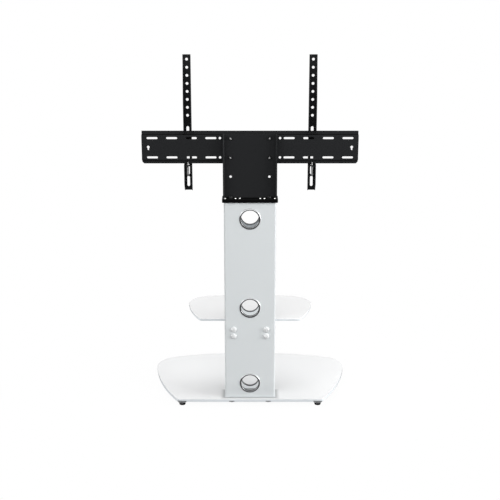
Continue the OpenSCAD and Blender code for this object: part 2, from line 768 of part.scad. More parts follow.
// Bolts through rail and neck, with their heads on the screen side
module rail_bolts() {
    head_y = rail_front - washer_t;
    color("silver") for (p = rail_bolt_places) {
        peg_y(p.x, p.y, m6_head_d, head_y - m6_head_h, head_y);
        peg_y(p.x, p.y, m6_d, head_y, neck_rear + m6_nut_h + bolt_tail);
    }
}

module rail_washers() {
    color("dimgray") for (p = rail_bolt_places) difference() {
        peg_y(p.x, p.y, m6_washer_d, rail_front - washer_t, rail_front);
        peg_y(p.x, p.y, m6_d + hole_gap, rail_front - washer_t - over, rail_front + over);
    }
}

module rail_nuts() {
    color("dimgray") for (p = rail_bolt_places) difference() {
        hex_y(p.x, p.y, m6_hex, neck_rear, neck_rear + m6_nut_h);
        peg_y(p.x, p.y, m6_d + 2 * thread_gap, neck_rear - over, neck_rear + m6_nut_h + over);
    }
}

// Arm: folded channel, open to the rear. Its sides are shallow at both ends and deep where
// they hook over the rail's upper lip and step round the lower one.
module arm(x) {
    hook_back = lip_rear + hook_gap;
    hook_front = lip_front - hook_gap;
    web_top = rail_z + rail_web_h / 2;
    shallow = arm_front + arm_end_d;
    half = arm_w / 2;
    inner = bend_r - arm_t / 2;
    outer = inner + arm_t;
    reach = arm_d - arm_end_d;
    color("dimgray") difference() {
        intersection() {
            translate([x, 0, 0]) plate(rounded([
                [-half, arm_front, outer], [half, arm_front, outer], [half, arm_rear, 0],
                [half - arm_t, arm_rear, 0], [half - arm_t, arm_front + arm_t, inner],
                [-half + arm_t, arm_front + arm_t, inner], [-half + arm_t, arm_rear, 0],
                [-half, arm_rear, 0]
            ]), arm_bottom, arm_len);
            bar(rounded([
                [arm_front, arm_bottom, 0], [shallow, arm_bottom, 0],
                [arm_rear, arm_bottom + 1.2 * reach, reach / 3],
                [arm_rear, lip_bottom - tab_t, 0], [hook_front, lip_bottom - tab_t, 0],
                [hook_front, lip_top, 0], [hook_back, lip_top, 0],
                [hook_back, web_top + hook_gap, bend_r], [arm_rear, web_top + hook_gap, arm_t],
                [arm_rear, lip_top + 5 * reach, 2 * reach], [shallow, arm_top - reach, 2 * reach],
                [shallow, arm_top, 0], [arm_front, arm_top, 0]
            ]), x - half, x + half);
        }
        for (i = [0:arm_hole_count - 1]) peg_y(x, arm_top - arm_hole_end - i * arm_hole_pitch, arm_hole_d, arm_front - over, arm_front + arm_t + over);
        slot_y(x, upper_slot_z, 0, arm_slot_len, arm_hole_d, arm_front - over, arm_front + arm_t + over);
        for (z = lower_slot_zs) slot_y(x, z, 0, arm_slot_len, arm_hole_d, arm_front - over, arm_front + arm_t + over);
    }
}

module left_arm() arm(-arm_x);
module right_arm() arm(arm_x);

// Threaded tab that bridges the channel just under the rail's lower lip
module lock_tab(x) {
    half = arm_w / 2 - arm_t;
    color("dimgray") difference() {
        translate([x - half, lock_y - arm_rear + lock_y, tab_z]) cube([2 * half, 2 * (arm_rear - lock_y), tab_t]);
        peg_z(x, lock_y, lock_d + seat_gap * 2, tab_z - over, tab_z + tab_t + over);
    }
}

module left_lock_tab() lock_tab(-arm_x);
module right_lock_tab() lock_tab(arm_x);

// Locking screw: its tip stands behind the lower lip so that the arm can't lift off
module lock_screw(x) {
    head_top = lock_tip_z - lock_len;
    color("silver") {
        translate([x, lock_y, head_top]) cylinder(h = lock_len - lock_tip, d = lock_d);
        translate([x, lock_y, lock_tip_z - lock_tip]) cylinder(h = lock_tip, d1 = lock_d, d2 = lock_d - 2 * lock_tip);
        translate([x, lock_y, head_top - lock_head_h]) cylinder(h = lock_head_h, d = lock_head_d, $fn = 6);
    }
}

module left_lock_screw() lock_screw(-arm_x);
module right_lock_screw() lock_screw(arm_x);

base_glass();
foot_cups();
foot_pads();
base_gasket();
column_shoe();
clamp_pad();
clamp_plate();
base_washers();
base_bolts();
column_foot_block();
column_channel();
column_cover();
column_top_block();
rear_upper_grommet();
rear_middle_grommet();
rear_lower_grommet();
front_upper_grommet();
front_middle_grommet();
front_lower_grommet();
shelf_glass();
shelf_bracket();
shelf_discs();
shelf_screws();
shelf_bolts();
shelf_spacers();
shelf_nuts();
bolt_caps();
column_cap();
neck_plate();
neck_bolts();
neck_washers();
neck_screws();
rail_plate();
rail_bolts();
rail_washers();
rail_nuts();
left_arm();
right_arm();
left_lock_tab();
right_lock_tab();
left_lock_screw();
right_lock_screw();
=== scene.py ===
"""Looks for a glass and steel floor stand that carries a flat screen. Metres, +Z up, the
stand's rear faces +Y. Each section below dresses one piece of the stand or one group of
like pieces, in the order in which the stand is put together."""

import math

import bmesh
import bpy
from mathutils import Matrix, Vector


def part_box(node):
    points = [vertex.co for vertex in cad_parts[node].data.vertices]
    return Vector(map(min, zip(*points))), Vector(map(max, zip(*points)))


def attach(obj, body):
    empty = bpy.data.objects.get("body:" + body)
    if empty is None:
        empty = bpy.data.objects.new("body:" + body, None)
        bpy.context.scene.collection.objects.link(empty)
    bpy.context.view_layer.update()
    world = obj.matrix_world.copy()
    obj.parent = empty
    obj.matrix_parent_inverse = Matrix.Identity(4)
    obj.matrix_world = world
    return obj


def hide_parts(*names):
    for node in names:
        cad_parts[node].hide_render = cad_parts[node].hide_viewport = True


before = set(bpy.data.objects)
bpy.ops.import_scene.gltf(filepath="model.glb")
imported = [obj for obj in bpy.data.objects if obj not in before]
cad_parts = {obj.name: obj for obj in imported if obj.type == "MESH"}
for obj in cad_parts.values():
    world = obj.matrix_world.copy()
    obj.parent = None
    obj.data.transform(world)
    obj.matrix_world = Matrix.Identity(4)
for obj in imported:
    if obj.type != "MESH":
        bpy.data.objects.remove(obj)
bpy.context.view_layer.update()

# ---- Camera -------------------------------------------------------------------------
# The photograph looks at the stand's rear, straight on and from a little above, through
# a 72 mm lens. It stands 3.2 m behind the base and looks down by 16.66 degrees.
camera_data = bpy.data.cameras.new("camera")
camera_data.lens = 72.0
camera_data.sensor_width = 36.0
camera_data.clip_end = 100.0
camera = bpy.data.objects.new("camera", camera_data)
camera.location = (0.0, 3.4155, 1.532)
camera.rotation_euler = (math.radians(90.0 - 16.66), 0.0, math.radians(180.0))
bpy.context.scene.collection.objects.link(camera)
bpy.context.scene.camera = camera
bpy.context.scene.view_settings.view_transform = "Standard"


# ---- Base glass ---------------------------------------------------------------------
# A 10 mm sheet of toughened glass, painted white on its underside, with a polished and
# slightly rounded edge all round. The column and the four feet fix to it.
class Wire:
    """One output of a shader node. Python's operators on it add the Math nodes."""

    def __init__(self, finish, socket):
        self.finish = finish
        self.socket = socket

    def maths(self, operation, *values):
        inputs = dict(enumerate(values))
        return self.finish.node("ShaderNodeMath", {"operation": operation}, inputs)

    def __add__(self, other):
        return self.maths("ADD", self, other)

    def __radd__(self, other):
        return self.maths("ADD", other, self)

    def __sub__(self, other):
        return self.maths("SUBTRACT", self, other)

    def __rsub__(self, other):
        return self.maths("SUBTRACT", other, self)

    def __mul__(self, other):
        return self.maths("MULTIPLY", self, other)

    def __rmul__(self, other):
        return self.maths("MULTIPLY", other, self)

    def size(self):
        """The value without its sign."""
        return self.maths("ABSOLUTE", self)

    def larger(self, other):
        """The larger of two values, point by point."""
        return self.maths("MAXIMUM", self, other)

    def ramp(self, low, high):
        """0 at low, 1 at high and smooth between. Low may be the larger number."""
        ranges = {"From Min": low, "From Max": high, "Value": self}
        return self.finish.node("ShaderNodeMapRange", {"interpolation_type": "SMOOTHSTEP"}, ranges)


class Finish:
    """A surface finish: one material with a Principled shader."""

    def __init__(self, name, **values):
        self.material = bpy.data.materials.new(name)
        self.material.use_nodes = True
        self.tree = self.material.node_tree
        self.shader = self.tree.nodes["Principled BSDF"]
        self.place = self.node("ShaderNodeTexCoord", {}, {}, "Object")
        self.set(**values)

    def node(self, kind, settings, inputs, output=0):
        """Adds any node, sets and feeds it, and gives back one of its outputs."""
        made = self.tree.nodes.new(kind)
        for name, value in settings.items():
            setattr(made, name, value)
        for name, value in inputs.items():
            self.feed(made.inputs[name], value)
        return Wire(self, made.outputs[output])

    def feed(self, socket, value):
        """Links a wire to a socket, or sets the socket to a constant."""
        if isinstance(value, Wire):
            self.tree.links.new(value.socket, socket)
        else:
            socket.default_value = value

    def set(self, **values):
        """Feeds the shader's sockets; base_color means Base Color."""
        for name, value in values.items():
            socket = name.replace("_", " ").title().replace("Ior", "IOR")
            self.feed(self.shader.inputs[socket], value)

    def noise(self, scale, detail=2.0, roughness=0.5, stretch=None):
        """Cloudy noise from 0 to 1, finer with a larger scale."""
        place = self.place
        if stretch:
            place = self.node("ShaderNodeMapping", {}, {"Vector": place, "Scale": stretch})
        inputs = {"Vector": place, "Scale": scale, "Detail": detail, "Roughness": roughness}
        return self.node("ShaderNodeTexNoise", {}, inputs)

    def along(self, axis):
        """How far a point is along an axis, in metres from the stand's origin."""
        return self.node("ShaderNodeSeparateXYZ", {}, {"Vector": self.place}, axis)

    def blend(self, factor, first, second):
        """Mixes two colours."""
        inputs = {0: factor, 6: first, 7: second}
        return self.node("ShaderNodeMix", {"data_type": "RGBA"}, inputs, 2)

    def over(self, factor, colour):
        """Lays a colour over the one the shader already has."""
        under = Wire(self, self.shader.inputs["Base Color"].links[0].from_socket)
        self.set(base_color=self.blend(factor, under, colour))

    def bump(self, height, depth, strength=1.0):
        """Raises the surface by a pattern of heights, at most by a depth in metres."""
        inputs = {"Height": height, "Distance": depth, "Strength": strength}
        self.set(normal=self.node("ShaderNodeBump", {}, inputs))

    def facing(self, axis):
        """1 where the surface faces along an axis, -1 where it faces against it."""
        normal = self.node("ShaderNodeNewGeometry", {}, {}, "Normal")
        return self.node("ShaderNodeSeparateXYZ", {}, {"Vector": normal}, axis)


def painted_glass(name, face):
    """White paint behind glass: a deep gloss with faint smears. The edge is cooler and carries
    a painted glow in place of light caught in the sheet, most of it where it faces sideways."""
    glass = Finish(name, coat_weight=0.25, coat_roughness=0.04)
    smear = [0.985 * part for part in face[:3]] + [1.0]
    tone = glass.blend(glass.noise(3.0, 2.0).ramp(0.3, 0.7), smear, face)
    flat = glass.facing("Z").ramp(0.1, 0.7) + glass.facing("Z").ramp(-0.9, -0.98)
    glass.set(base_color=glass.blend(flat, (0.56, 0.59, 0.61, 1.0), tone))
    # Painted glow on the edges: they emit light, most where they face sideways, none on the flat
    # faces.
    sideways = glass.facing("X").size().ramp(0.3, 0.9)
    light = glass.blend(sideways, (0.12, 0.125, 0.13, 1.0), (0.32, 0.33, 0.34, 1.0))
    light = glass.blend(flat, light, (0.0, 0.0, 0.0, 1.0))
    glass.set(emission_color=light, emission_strength=1.0)
    glass.set(roughness=0.07 + 0.05 * glass.noise(18.0, 4.0).ramp(0.35, 0.75))
    glass.bump(glass.noise(9.0, 1.0), 0.0001, 0.1)
    return glass


def cad_mesh(node):
    """A copy of a solid's mesh to work on, its doubled corners joined."""
    mesh = bmesh.new()
    mesh.from_mesh(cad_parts[node].data)
    bmesh.ops.remove_doubles(mesh, verts=mesh.verts, dist=0.00002)
    return mesh


def smooth_data(name, mesh):
    """Stores a worked mesh, with all its faces shaded smooth."""
    data = bpy.data.meshes.new(name)
    mesh.to_mesh(data)
    mesh.free()
    for polygon in data.polygons:
        polygon.use_smooth = True
    return data


def add_piece(name, data, finish, body, node):
    """Sets a stored mesh in the scene, with its finish, body, node and slot."""
    data.materials.append(finish.material)
    piece = bpy.data.objects.new(name, data)
    bpy.context.scene.collection.objects.link(piece)
    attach(piece, body)
    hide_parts(node)
    return piece


def sheet_copy(node, name, body, finish, edge_r, steps=2):
    """A copy of a solid with its sharp edges eased to a small radius."""
    mesh = cad_mesh(node)
    flat_enough = math.radians(0.5)
    bmesh.ops.dissolve_limit(mesh, angle_limit=flat_enough, verts=mesh.verts, edges=mesh.edges)
    piece = add_piece(name, smooth_data(name, mesh), finish, body, node)
    ease = piece.modifiers.new("eased edges", "BEVEL")
    ease.width = edge_r
    ease.segments = steps
    ease.limit_method = "ANGLE"
    ease.angle_limit = math.radians(40)
    flats = piece.modifiers.new("flat faces stay flat", "WEIGHTED_NORMAL")
    flats.mode = "FACE_AREA"
    flats.weight = 100
    with bpy.context.temp_override(object=piece, active_object=piece, selected_objects=[piece]):
        bpy.ops.object.modifier_apply(modifier=ease.name)
        bpy.ops.object.modifier_apply(modifier=flats.name)


base_paint = painted_glass("base glass", (0.86, 0.865, 0.87, 1.0))
# Painted shade on the glass: soft and close round the column's shoe, and a touch deeper
# towards the straight rear edge.
shoe_low, shoe_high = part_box("column_shoe")
shoe_middle, shoe_half = (shoe_low + shoe_high) / 2, (shoe_high - shoe_low) / 2
clear_x = (base_paint.along("X") - shoe_middle.x).size() - shoe_half.x
clear_y = (base_paint.along("Y") - shoe_middle.y).size() - shoe_half.y
shade_start, shade_end = -0.003, 0.017
shade = 1.0 - clear_x.larger(clear_y).ramp(shade_start, shade_end)
# Painted shade, growing towards the straight rear edge.
painted_rear_shade = 0.085 * base_paint.along("Y").ramp(0.0, 0.21)
base_paint.over(0.56 * shade + painted_rear_shade, (0.20, 0.205, 0.21, 1.0))
sheet_copy(
    "base_glass", "base_glass_polished", "stand", base_paint,
    edge_r=0.0016, steps=3,
)


# ---- Feet ---------------------------------------------------------------------------
# Four turned aluminium cups, bonded under the glass, each with a black rubber pad pressed
# into it. The cups keep their lathe rings and the pads have a moulded groove.
def pointing(place, axis):
    """Local frame at a place, its Z along a world axis: Z, -Z, Y or -Y."""
    turn = {"Z": 0.0, "-Z": math.pi, "Y": -math.pi / 2, "-Y": math.pi / 2}[axis]
    return Matrix.Translation(place) @ Matrix.Rotation(turn, 4, "X")


def ring(mesh, move, height, radii):
    """Adds a ring of corners at a local height, with one radius for each corner."""
    corners = []
    for i, radius in enumerate(radii):
        angle = 2 * math.pi * i / len(radii)
        local = Vector((radius * math.cos(angle), radius * math.sin(angle), height))
        corners.append(mesh.verts.new(move @ local))
    return corners


def lathe(name, profile, places, finish, body, node, steps=48, axis="Z"):
    """One piece that holds a copy of a turned shape at each place. The profile is a list
    of (radius, height); the shape closes where the radius is 0."""
    mesh = bmesh.new()
    for place in places:
        move = pointing(place, axis)
        rings = []
        for radius, height in profile:
            rings.append(ring(mesh, move, height, [radius] * (steps if radius else 1)))
        pairs = list(zip(rings, rings[1:]))
        if len(rings[0]) > 1 and len(rings[-1]) > 1:
            pairs.append((rings[-1], rings[0]))
        for low, high in pairs:
            for i in range(steps):
                j = (i + 1) % steps
                corners = [low[i % len(low)], low[j % len(low)]]
                corners += [high[j % len(high)], high[i % len(high)]]
                corners = list(dict.fromkeys(corners))
                if len(corners) > 2:
                    mesh.faces.new(corners)
    bmesh.ops.recalc_face_normals(mesh, faces=mesh.faces)
    finished(name, mesh, finish, body, node)


def finished(name, mesh, finish, body, node):
    """Makes a worked mesh a piece, smooth except across its sharper edges."""
    data = smooth_data(name, mesh)
    data.set_sharp_from_angle(angle=math.radians(35))
    add_piece(name, data, finish, body, node)


def solids_of(node):
    """Centre and size of each separate solid in a node, in a steady order."""
    mesh = cad_mesh(node)
    waiting = set(mesh.verts)
    found = []
    while waiting:
        island, queue = set(), [waiting.pop()]
        while queue:
            vert = queue.pop()
            island.add(vert)
            for edge in vert.link_edges:
                other = edge.other_vert(vert)
                if other in waiting:
                    waiting.discard(other)
                    queue.append(other)
        low = Vector([min(v.co[i] for v in island) for i in range(3)])
        high = Vector([max(v.co[i] for v in island) for i in range(3)])
        found.append(((low + high) / 2, high - low))
    mesh.free()
    return sorted(found, key=lambda solid: tuple(round(part, 4) for part in solid[0]))


cup_metal = Finish("turned aluminium", metallic=1.0, base_color=(0.60, 0.61, 0.62, 1.0))
cup_metal.set(roughness=0.28 + 0.14 * cup_metal.noise(90.0, 3.0))
cup_metal.bump(cup_metal.noise(60.0, 1.0, stretch=(0.2, 0.2, 60.0)), 0.00012, 0.5)
cup_places = [(centre.x, centre.y, 0.0) for centre, size in solids_of("foot_cups")]
cup_profile = [
    (0.0, 0.0180), (0.0165, 0.0180), (0.0170, 0.0175), (0.0170, 0.0130), (0.0166, 0.0126),
    (0.0167, 0.0122), (0.0150, 0.0104), (0.0143, 0.0094), (0.0135, 0.0090), (0.0122, 0.0090),
    (0.01115, 0.0093), (0.01115, 0.0120), (0.0, 0.0120),
]
lathe("foot_cups_turned", cup_profile, cup_places, cup_metal, "stand", "foot_cups")


def paint_reflection_below(finish, places, half):
    """A painted reflection: the glass's rear edge is painted dark, along its lower half, beside
    dark parts fixed under it close to that edge. Half is half the width of one part."""
    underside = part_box("base_glass")[0].z
    none_above, full_below = underside + 0.0055, underside + 0.0030
    edge = finish.along("Z").ramp(none_above, full_below) * finish.facing("Y").ramp(0.5, 0.9)
    close_to_edge, blur = 0.18, 0.002
    beside = 0.0
    for x, y, z in places:
        if y > close_to_edge:
            beside = (finish.along("X") - x).size().ramp(half + blur, half - blur) + beside
    finish.over(0.9 * edge * beside, (0.02, 0.021, 0.022, 1.0))


paint_reflection_below(base_paint, cup_places, half=0.0160)

rubber = Finish("black rubber", base_color=(0.007, 0.007, 0.0075, 1.0), specular_ior_level=0.12)
rubber.set(roughness=0.62 + 0.2 * rubber.noise(400.0, 3.0))
rubber.bump(rubber.noise(900.0, 2.0), 0.0001, 0.4)
pad_profile = [
    (0.0, 0.0120), (0.0110, 0.0120), (0.0110, 0.0062), (0.0105, 0.0056), (0.0105, 0.0050),
    (0.0110, 0.0044), (0.0110, 0.0016), (0.0105, 0.0005), (0.0095, 0.0), (0.0, 0.0),
]
lathe("foot_pads_moulded", pad_profile, cup_places, rubber, "stand", "foot_pads")


# ---- Gasket, clamp pad and shoe plate ------------------------------------------------
# A thin grey gasket under the shoe and a black rubber pad under the glass keep steel off
# glass. Both are cut sheet. The shoe is a flat plate in the column's silver-white coat.
gasket_rubber = Finish("grey gasket", base_color=(0.30, 0.31, 0.32, 1.0))
gasket_rubber.set(roughness=0.7 + 0.15 * gasket_rubber.noise(300.0, 2.0))
gasket_rubber.bump(gasket_rubber.noise(700.0, 2.0), 0.0001, 0.4)


def dress(node, finish):
    """Gives a solid that already has the right shape its finish."""
    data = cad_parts[node].data
    data.materials.clear()
    data.materials.append(finish.material)


dress("base_gasket", gasket_rubber)
dress("clamp_pad", rubber)

# Powder coat in a light silver-white: satin, with a fine orange-peel skin and a trace of
# metal flake, and a painted shade that darkens it near the floor. Inside the column it carries
# a painted glow in place of the light that comes in at the cable holes and goes from wall to wall,
# least at the top.
coat = Finish("silver white powder coat", coat_weight=0.15, coat_roughness=0.25)
flake = coat.noise(2600.0, 1.0).ramp(0.62, 0.78)
skin = coat.blend(flake, (0.655, 0.685, 0.695, 1.0), (0.70, 0.72, 0.73, 1.0))
# Painted shade: the coat is darker towards the floor.
coat.set(base_color=coat.blend(coat.along("Z").ramp(0.0, 0.10), (0.52, 0.545, 0.555, 1.0), skin))
# The painted glow starts behind the 1.5 mm sheets.
cover_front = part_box("column_cover")[0].y
channel_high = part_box("column_channel")[1]
behind_cover = coat.along("Y").ramp(cover_front + 0.0012, cover_front + 0.0017)
before_rear = coat.along("Y").ramp(channel_high.y - 0.0011, channel_high.y - 0.0018)
between_sides = coat.along("X").size().ramp(channel_high.x - 0.0008, channel_high.x - 0.0014)
inside = behind_cover * before_rear * between_sides * coat.facing("Y").ramp(0.5, 0.9)
high_up = coat.along("Z").ramp(0.42, 0.62)
bounce = coat.blend(high_up, (0.66, 0.68, 0.69, 1.0), (0.15, 0.16, 0.17, 1.0))
painted_inner_glow = coat.blend(inside, (0.0, 0.0, 0.0, 1.0), bounce)
coat.set(emission_color=painted_inner_glow, emission_strength=1.0)
coat.set(metallic=0.08, roughness=0.36 + 0.10 * coat.noise(40.0, 3.0))
coat.bump(coat.noise(650.0, 2.0), 0.00012, 0.25)
sheet_copy("column_shoe", "column_shoe_eased", "stand", coat, edge_r=0.0003)


# ---- Clamp plate, washers, blocks and bolts under the base ----------------------------
# Zinc-plated steel: a flat clamp plate under the glass, washers, and tapped blocks inside
# the column's two ends. The bolts have hexagon heads with a chamfered top.
zinc = Finish("zinc plate", metallic=1.0)
patina = zinc.noise(120.0, 3.0)
dull, clean = (0.42, 0.43, 0.44, 1.0), (0.53, 0.53, 0.52, 1.0)
zinc.set(base_color=zinc.blend(patina.ramp(0.35, 0.7), dull, clean))
zinc.set(roughness=0.26 + 0.16 * patina)
zinc.bump(zinc.noise(800.0, 2.0), 0.00005, 0.3)
for node in ("clamp_plate", "base_washers", "column_foot_block", "column_top_block"):
    dress(node, zinc)

black_oxide = Finish("black oxide", metallic=0.6, base_color=(0.018, 0.018, 0.019, 1.0))
black_oxide.set(roughness=0.36 + 0.12 * black_oxide.noise(150.0, 3.0))
black_oxide.bump(black_oxide.noise(900.0, 2.0), 0.00005, 0.3)


def skin(mesh, rings):
    """Joins a row of rings of corners with faces and closes its two ends."""
    for low, high in zip(rings, rings[1:]):
        for i in range(len(low)):
            j = (i + 1) % len(low)
            mesh.faces.new((low[i], low[j], high[j], high[i]))
    mesh.faces.new(list(reversed(rings[0])))
    mesh.faces.new(rings[-1])


def screw_thread(mesh, move, thread, length, steps=20):
    """Adds a threaded shank along the local Z, turned down a little at both ends. The
    thread is its outer radius and its pitch."""
    radius, pitch = thread
    count = max(2, int(length / pitch * 5))
    crest = radius - 0.058 * pitch
    depth = 0.45 * pitch
    rings = []
    for k in range(count + 1):
        height = length * k / count
        turned_down = 0.25 * pitch if k in (0, count) else 0.0
        phases = [(height / pitch - i / steps) % 1.0 for i in range(steps)]
        radii = [crest - depth * abs(2 * phase - 1) - turned_down for phase in phases]
        rings.append(ring(mesh, move, height, radii))
    skin(mesh, rings)


def six_sides(corners, steps):
    """Distances from the middle of a hexagon to its sides, all the way round."""
    radii = []
    for i in range(steps):
        off = (2 * math.pi * i / steps + math.pi / 6) % (math.pi / 3) - math.pi / 6
        radii.append(corners / 2 * math.cos(math.pi / 6) / math.cos(abs(off) - math.pi / 6))
    return radii


def hexagon(mesh, move, corners, low, high, crown):
    """Adds a hexagon from low to high whose top corners are turned down over a crown."""
    sides = six_sides(corners, 24)
    top = [min(0.97 * radius, 0.9 * corners / 2) for radius in sides]
    levels = ((low, sides), (high - crown, sides), (high, top))
    skin(mesh, [ring(mesh, move, height, radii) for height, radii in levels])


bolt_mesh = bmesh.new()
m8 = (0.004, 0.00125)
head_h = 0.0053
for centre, size in solids_of("base_bolts"):
    seat = (centre.x, centre.y, centre.z - size.z / 2 + head_h)
    hexagon(bolt_mesh, pointing(seat, "-Z"), corners=0.015, low=0.0, high=head_h, crown=0.0008)
    screw_thread(bolt_mesh, pointing(seat, "Z"), m8, size.z - head_h)
finished("base_bolts_hexagon", bolt_mesh, black_oxide, "stand", "base_bolts")
paint_reflection_below(base_paint, [centre for centre, size in solids_of("base_bolts")], half=0.0090)


# ---- Column --------------------------------------------------------------------------
# A folded steel channel makes the rear face and both sides; a second folded sheet closes
# the front inside it. Both are powder coated. Their shapes come straight from the solids.
dress("column_channel", coat)
dress("column_cover", coat)


# ---- Cable grommets ------------------------------------------------------------------
# Rings pressed into the column's holes from outside: a bright plated flange, rolled over,
# and a dark sleeve that runs through the sheet.
chrome = Finish("bright plating", metallic=1.0, base_color=(0.48, 0.49, 0.50, 1.0))
chrome.set(roughness=0.12 + 0.06 * chrome.noise(60.0, 3.0))
chrome.bump(chrome.noise(25.0, 1.0), 0.0001, 0.08)
# Painted reflection of white walls: the flanges glow where they face sideways, most toward -X.
painted_left_reflection = 0.15 * chrome.facing("X").ramp(0.1, 0.8)
painted_right_reflection = 0.70 * chrome.facing("X").ramp(-0.1, -0.8)
painted_wall_reflection = chrome.blend(painted_left_reflection + painted_right_reflection, (0.0, 0.0, 0.0, 1.0), (1.0, 1.0, 1.0, 1.0))
chrome.set(emission_color=painted_wall_reflection, emission_strength=1.0)
# The rim's section is a quarter of an ellipse, the throat's a quarter of a circle.
turns = [math.pi / 16 * i for i in range(9)]
rim = [(0.0322 + 0.0043 * math.cos(a), 0.0002 + 0.0022 * math.sin(a)) for a in turns]
throat = [(0.0308 - 0.0008 * math.sin(a), 0.0016 + 0.0008 * math.cos(a)) for a in turns[::2]]
flange_profile = [(0.0316, 0.0), (0.0365, 0.0)] + rim + throat
sleeve_profile = [(0.0300, -0.0080), (0.0316, -0.0080), (0.0316, 0.0), (0.0300, 0.0016)]
sleeve_metal = Finish("dark sleeve", metallic=0.8, base_color=(0.10, 0.10, 0.105, 1.0))
sleeve_metal.set(roughness=0.34 + 0.10 * sleeve_metal.noise(120.0, 3.0))
sleeve_metal.bump(sleeve_metal.noise(500.0, 2.0), 0.00005, 0.3)
for side, axis in (("rear", "Y"), ("front", "-Y")):
    for hole in ("upper", "middle", "lower"):
        node = f"{side}_{hole}_grommet"
        low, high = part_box(node)
        face = channel_high.y if side == "rear" else cover_front
        place = [(0.0, face, (low.z + high.z) / 2)]
        for part, profile, metal in (
            ("ring", flange_profile, chrome),
            ("sleeve", sleeve_profile, sleeve_metal),
        ):
            name = f"{node}_{part}"
            lathe(name, profile, place, metal, "stand", node, steps=72, axis=axis)


# ---- Shelf ---------------------------------------------------------------------------
# An 8 mm sheet of the same painted glass, bonded to four discs. The discs are screwed to a
# folded bracket, which four bolts with spacer tubes hold through the column.
shelf_paint = painted_glass("shelf glass", (0.87, 0.872, 0.875, 1.0))
sheet_copy(
    "shelf_glass", "shelf_glass_polished", "stand", shelf_paint,
    edge_r=0.0014, steps=3,
)
sheet_copy("shelf_bracket", "shelf_bracket_eased", "stand", coat, edge_r=0.0004)
dress("shelf_discs", zinc)
dress("shelf_spacers", zinc)

screw_mesh = bmesh.new()
m5 = (0.0025, 0.0008)
head_h = 0.0030
for centre, size in solids_of("shelf_screws"):
    seat = (centre.x, centre.y, centre.z - size.z / 2 + head_h)
    screw_thread(screw_mesh, pointing(seat, "Z"), m5, size.z - head_h)
    hexagon(screw_mesh, pointing(seat, "-Z"), corners=0.0090, low=0.0, high=head_h, crown=0.0006)
finished("shelf_screws_threaded", screw_mesh, zinc, "stand", "shelf_screws")

bolt_mesh = bmesh.new()
nut_mesh = bmesh.new()
m6 = (0.003, 0.001)
thread_len, head_h, half_nut = 0.024, 0.003, 0.0025
for centre, size in solids_of("shelf_bolts"):
    tip = pointing((centre.x, centre.y - size.y / 2, centre.z), "Y")
    screw_thread(bolt_mesh, tip, m6, thread_len)
    plain_len = size.y - thread_len - head_h
    middle = tip @ Matrix.Translation((0.0, 0.0, thread_len + plain_len / 2))
    shank = {"radius1": 0.003, "radius2": 0.003, "depth": plain_len, "matrix": middle}
    bmesh.ops.create_cone(bolt_mesh, cap_ends=True, segments=24, **shank)
    hexagon(bolt_mesh, tip, corners=0.011, low=size.y - head_h, high=size.y, crown=0.0006)
for centre, size in solids_of("shelf_nuts"):
    hexagon(nut_mesh, pointing(centre, "Y"), 0.0115, -half_nut, half_nut, crown=0.0006)
finished("shelf_bolts_threaded", bolt_mesh, zinc, "stand", "shelf_bolts")
finished("shelf_nuts_hexagon", nut_mesh, zinc, "stand", "shelf_nuts")

# Domed snap-on caps in glossy white plastic hide the four bolt heads at the rear.
white_plastic = Finish("white plastic", base_color=(0.71, 0.725, 0.73, 1.0))
white_plastic.set(subsurface_weight=0.6, subsurface_radius=(1.0, 1.0, 1.0), subsurface_scale=0.008)
white_plastic.set(roughness=0.34 + 0.08 * white_plastic.noise(200.0, 2.0))
white_plastic.bump(white_plastic.noise(500.0, 2.0), 0.00005, 0.3)
dome_profile = [
    (0.0, 0.0060), (0.0045, 0.0059), (0.0066, 0.0056), (0.0080, 0.0050), (0.0090, 0.0040),
    (0.0097, 0.0026), (0.0100, 0.0010), (0.0100, 0.0), (0.0059, 0.0), (0.0059, 0.0032),
    (0.0, 0.0032),
]
dome_places = [(centre.x, channel_high.y, centre.z) for centre, size in solids_of("bolt_caps")]
lathe(
    "bolt_caps_domed", dome_profile, dome_places, white_plastic,
    "stand", "bolt_caps", steps=40, axis="Y",
)


# ---- Column cap ----------------------------------------------------------------------
# A moulded black plastic cap over the column's top, held down by the neck's foot.
black_plastic = Finish("black plastic", specular_ior_level=0.03)
black_plastic.set(base_color=(0.0022, 0.0022, 0.0024, 1.0))
black_plastic.set(roughness=0.42 + 0.12 * black_plastic.noise(300.0, 3.0))
black_plastic.bump(black_plastic.noise(1400.0, 2.0), 0.00006, 0.4)
sheet_copy("column_cap", "column_cap_eased", "stand", black_plastic, edge_r=0.0008)


# ---- Neck ----------------------------------------------------------------------------
# A 3 mm steel plate, folded back along its foot and both sides, in a fine-textured black
# powder coat with a painted highlight over the folds and painted shade on top and at the
# foot. Two socket bolts and six small plated screws fix the foot.
black_coat = Finish("black powder coat", specular_ior_level=0.11)
grain = black_coat.noise(1900.0, 3.0, 0.6)
pit, peak = (0.0118, 0.0124, 0.0134, 1.0), (0.0162, 0.0170, 0.0181, 1.0)
black_coat.set(base_color=black_coat.blend(grain.ramp(0.4, 0.75), pit, peak))
black_coat.set(roughness=0.52 + 0.14 * grain)
black_coat.bump(grain, 0.00012, 0.35)
# Painted highlight where the faces turn sideways over the folds.
sideways = black_coat.facing("X").size()
painted_fold_highlight = sideways.ramp(0.15, 0.5) * sideways.ramp(0.995, 0.9)
black_coat.over(0.85 * painted_fold_highlight, (0.045, 0.046, 0.048, 1.0))
# Painted shade on faces that look up.
painted_top_shade = black_coat.facing("Z").ramp(0.4, 0.9)
black_coat.over(0.7 * painted_top_shade, (0.0, 0.0, 0.0, 1.0))
# Painted shade at the neck's foot.
neck_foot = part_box("neck_plate")[0].z
painted_foot_shade = black_coat.along("Z").ramp(neck_foot + 0.0040, neck_foot + 0.0025)
black_coat.over(0.85 * painted_foot_shade, (0.0, 0.0, 0.0, 1.0))
sheet_copy("neck_plate", "neck_plate_eased", "stand", black_coat, edge_r=0.0004)
dress("neck_washers", black_oxide)
dress("rail_washers", black_oxide)

